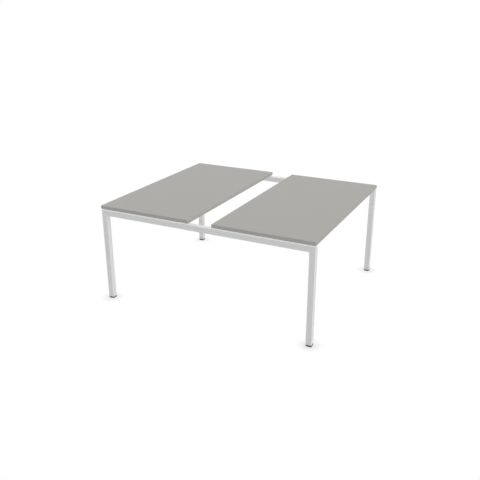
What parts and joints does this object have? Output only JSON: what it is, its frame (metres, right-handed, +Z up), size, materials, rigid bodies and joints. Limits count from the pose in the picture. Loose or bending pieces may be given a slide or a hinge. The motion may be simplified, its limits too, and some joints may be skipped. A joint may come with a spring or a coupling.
{
  "type": "conference table",
  "caption": "Rectangular conference table with a split top and an open gap along its middle, on front and rear portal frames of square tube with screw-levelled feet.",
  "frame": {"origin": "on the floor, under the middle of the table", "axes": "+X across both tops from left to right, +Y from the front frame to the rear one, +Z up"},
  "size_m": [1.64, 1.4, 0.736],
  "materials": {
    "top_laminate": "matte",
    "edging": "satin",
    "frame_coat": "satin",
    "foot_plastic": "matte",
    "zinc_steel": "satin"
  },
  "bodies": {
    "table": {"left_top_board": "top_laminate", "left_top_edge_front": "edging", "left_top_edge_rear": "edging", "left_top_edge_outer": "edging", "left_top_edge_inner": "edging", "right_top_board": "top_laminate", "right_top_edge_front": "edging", "right_top_edge_rear": "edging", "right_top_edge_outer": "edging", "right_top_edge_inner": "edging", "front_beam": "frame_coat", "front_left_leg": "frame_coat", "front_left_leg_plug": "foot_plastic", "front_right_leg": "frame_coat", "front_right_leg_plug": "foot_plastic", "rear_beam": "frame_coat", "rear_left_leg": "frame_coat", "rear_left_leg_plug": "foot_plastic", "rear_right_leg": "frame_coat", "rear_right_leg_plug": "foot_plastic", "left_outer_rail": "frame_coat", "left_inner_rail": "frame_coat", "right_outer_rail": "frame_coat", "right_inner_rail": "frame_coat", "left_outer_rail_front_bolt_left": "zinc_steel", "left_outer_rail_front_bolt_right": "zinc_steel", "left_outer_rail_rear_bolt_left": "zinc_steel", "left_outer_rail_rear_bolt_right": "zinc_steel", "left_outer_rail_top_screw_front": "zinc_steel", "left_outer_rail_top_screw_middle": "zinc_steel", "left_outer_rail_top_screw_rear": "zinc_steel", "left_inner_rail_front_bolt_left": "zinc_steel", "left_inner_rail_front_bolt_right": "zinc_steel", "left_inner_rail_rear_bolt_left": "zinc_steel", "left_inner_rail_rear_bolt_right": "zinc_steel", "left_inner_rail_top_screw_front": "zinc_steel", "left_inner_rail_top_screw_middle": "zinc_steel", "left_inner_rail_top_screw_rear": "zinc_steel", "right_outer_rail_front_bolt_left": "zinc_steel", "right_outer_rail_front_bolt_right": "zinc_steel", "right_outer_rail_rear_bolt_left": "zinc_steel", "right_outer_rail_rear_bolt_right": "zinc_steel", "right_outer_rail_top_screw_front": "zinc_steel", "right_outer_rail_top_screw_middle": "zinc_steel", "right_outer_rail_top_screw_rear": "zinc_steel", "right_inner_rail_front_bolt_left": "zinc_steel", "right_inner_rail_front_bolt_right": "zinc_steel", "right_inner_rail_rear_bolt_left": "zinc_steel", "right_inner_rail_rear_bolt_right": "zinc_steel", "right_inner_rail_top_screw_front": "zinc_steel", "right_inner_rail_top_screw_middle": "zinc_steel", "right_inner_rail_top_screw_rear": "zinc_steel"},
    "front_left_pad": {"front_left_foot_pad": "foot_plastic"},
    "front_left_screw": {"front_left_foot_screw": "zinc_steel"},
    "front_right_pad": {"front_right_foot_pad": "foot_plastic"},
    "front_right_screw": {"front_right_foot_screw": "zinc_steel"},
    "rear_left_pad": {"rear_left_foot_pad": "foot_plastic"},
    "rear_left_screw": {"rear_left_foot_screw": "zinc_steel"},
    "rear_right_pad": {"rear_right_foot_pad": "foot_plastic"},
    "rear_right_screw": {"rear_right_foot_screw": "zinc_steel"}
  },
  "joints": [
    {"name": "front_left_foot_height", "type": "slide", "parent": "table", "child": "front_left_pad", "axis": [0, 0, -1], "range_m": [0, 0.015]},
    {"name": "front_left_foot_turn", "type": "hinge", "parent": "front_left_pad", "child": "front_left_screw", "pos_m": [-0.798, -0.678, 0], "axis": [0, 0, -1], "range_deg": [0, 3600]},
    {"name": "front_right_foot_height", "type": "slide", "parent": "table", "child": "front_right_pad", "axis": [0, 0, -1], "range_m": [0, 0.015]},
    {"name": "front_right_foot_turn", "type": "hinge", "parent": "front_right_pad", "child": "front_right_screw", "pos_m": [0.798, -0.678, 0], "axis": [0, 0, -1], "range_deg": [0, 3600]},
    {"name": "rear_left_foot_height", "type": "slide", "parent": "table", "child": "rear_left_pad", "axis": [0, 0, -1], "range_m": [0, 0.015]},
    {"name": "rear_left_foot_turn", "type": "hinge", "parent": "rear_left_pad", "child": "rear_left_screw", "pos_m": [-0.798, 0.678, 0], "axis": [0, 0, -1], "range_deg": [0, 3600]},
    {"name": "rear_right_foot_height", "type": "slide", "parent": "table", "child": "rear_right_pad", "axis": [0, 0, -1], "range_m": [0, 0.015]},
    {"name": "rear_right_foot_turn", "type": "hinge", "parent": "rear_right_pad", "child": "rear_right_screw", "pos_m": [0.798, 0.678, 0], "axis": [0, 0, -1], "range_deg": [0, 3600]}
  ],
  "couplings": [
    {"joint": "front_left_foot_turn", "follows": "front_left_foot_height", "rad_per_m": 4188.8},
    {"joint": "front_right_foot_turn", "follows": "front_right_foot_height", "rad_per_m": 4188.8},
    {"joint": "rear_left_foot_turn", "follows": "rear_left_foot_height", "rad_per_m": 4188.8},
    {"joint": "rear_right_foot_turn", "follows": "rear_right_foot_height", "rad_per_m": 4188.8}
  ]
}
